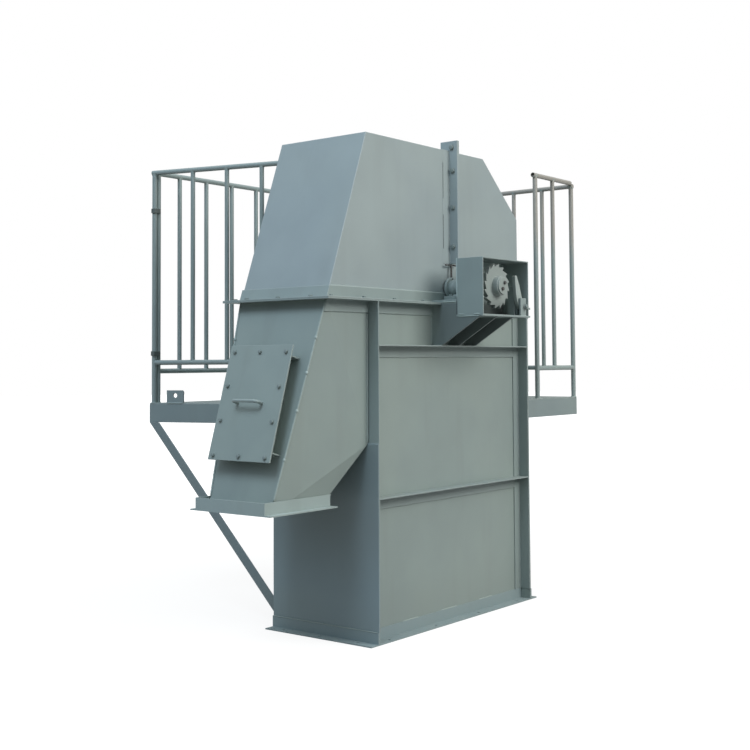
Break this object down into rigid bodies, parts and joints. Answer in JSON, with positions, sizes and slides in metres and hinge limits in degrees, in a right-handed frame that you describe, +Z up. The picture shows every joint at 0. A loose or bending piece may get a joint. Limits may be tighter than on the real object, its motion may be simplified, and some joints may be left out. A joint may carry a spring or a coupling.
{
  "type": "bucket elevator head section with discharge chute and service platform",
  "caption": "Steel head section of a bucket elevator: flanged casing, hood over a head pulley, tapering discharge chute with door, pawl backstop and L-shaped railed platform.",
  "frame": {"origin": "centre of the casing's base flange, on its underside, at floor level", "axes": "+Z up; +X along the casing's wide walls away from the discharge chute; +Y away from the backstop, towards the platform's deep wing"},
  "size_m": [2.271, 1.638, 2.096],
  "materials": {
    "grey_paint": "satin grey-green coat of workshop paint",
    "bare_steel": "bare machined steel with a film of grease",
    "worn_steel": "painted steel, thin at its edges",
    "cast_iron": "painted cast iron"
  },
  "bodies": {
    "frame": {"back_braces": "grey_paint", "backstop_back": "grey_paint", "backstop_guard": "grey_paint", "backstop_shelf": "grey_paint", "base_flange": "grey_paint", "bearing_brackets": "grey_paint", "bearings": "grey_paint", "casing_top_flange": "grey_paint", "channel_back": "grey_paint", "channel_end": "grey_paint", "channel_near": "grey_paint", "channel_right": "grey_paint", "chute_floor": "grey_paint", "chute_front": "grey_paint", "chute_sides": "grey_paint", "corner_angles": "grey_paint", "door_handle": "grey_paint", "door_neck": "grey_paint", "grease_screws": "bare_steel", "hood_flange": "grey_paint", "hood_front_half": "grey_paint", "hood_rear_half": "grey_paint", "inspection_door": "grey_paint", "lifting_lug": "grey_paint", "outlet_flange": "grey_paint", "pawl_lug": "grey_paint", "pawl_pin": "bare_steel", "platform_deck": "grey_paint", "railing_back": "grey_paint", "railing_end": "grey_paint", "railing_near": "grey_paint", "railing_side": "grey_paint", "side_brace": "grey_paint", "split_flange_front": "grey_paint", "split_flange_rear": "grey_paint", "wall_channels": "grey_paint", "wall_front": "grey_paint", "wall_rear": "grey_paint", "wall_stiffeners": "grey_paint", "wide_walls": "grey_paint"},
    "rotor": {"head_shaft": "bare_steel", "head_pulley": "worn_steel", "ratchet_wheel": "cast_iron", "hub_end_plate": "worn_steel"},
    "pawl": {"pawl": "worn_steel"}
  },
  "joints": [
    {"name": "head_shaft_spin", "type": "hinge", "parent": "frame", "child": "rotor", "pos_m": [0, 0, 1.44], "axis": [0, -1, 0], "continuous": true},
    {"name": "pawl_pivot", "type": "hinge", "parent": "frame", "child": "pawl", "pos_m": [0.204, -0.4775, 1.358], "axis": [0, -1, 0], "range_deg": [0, 28.5]}
  ]
}
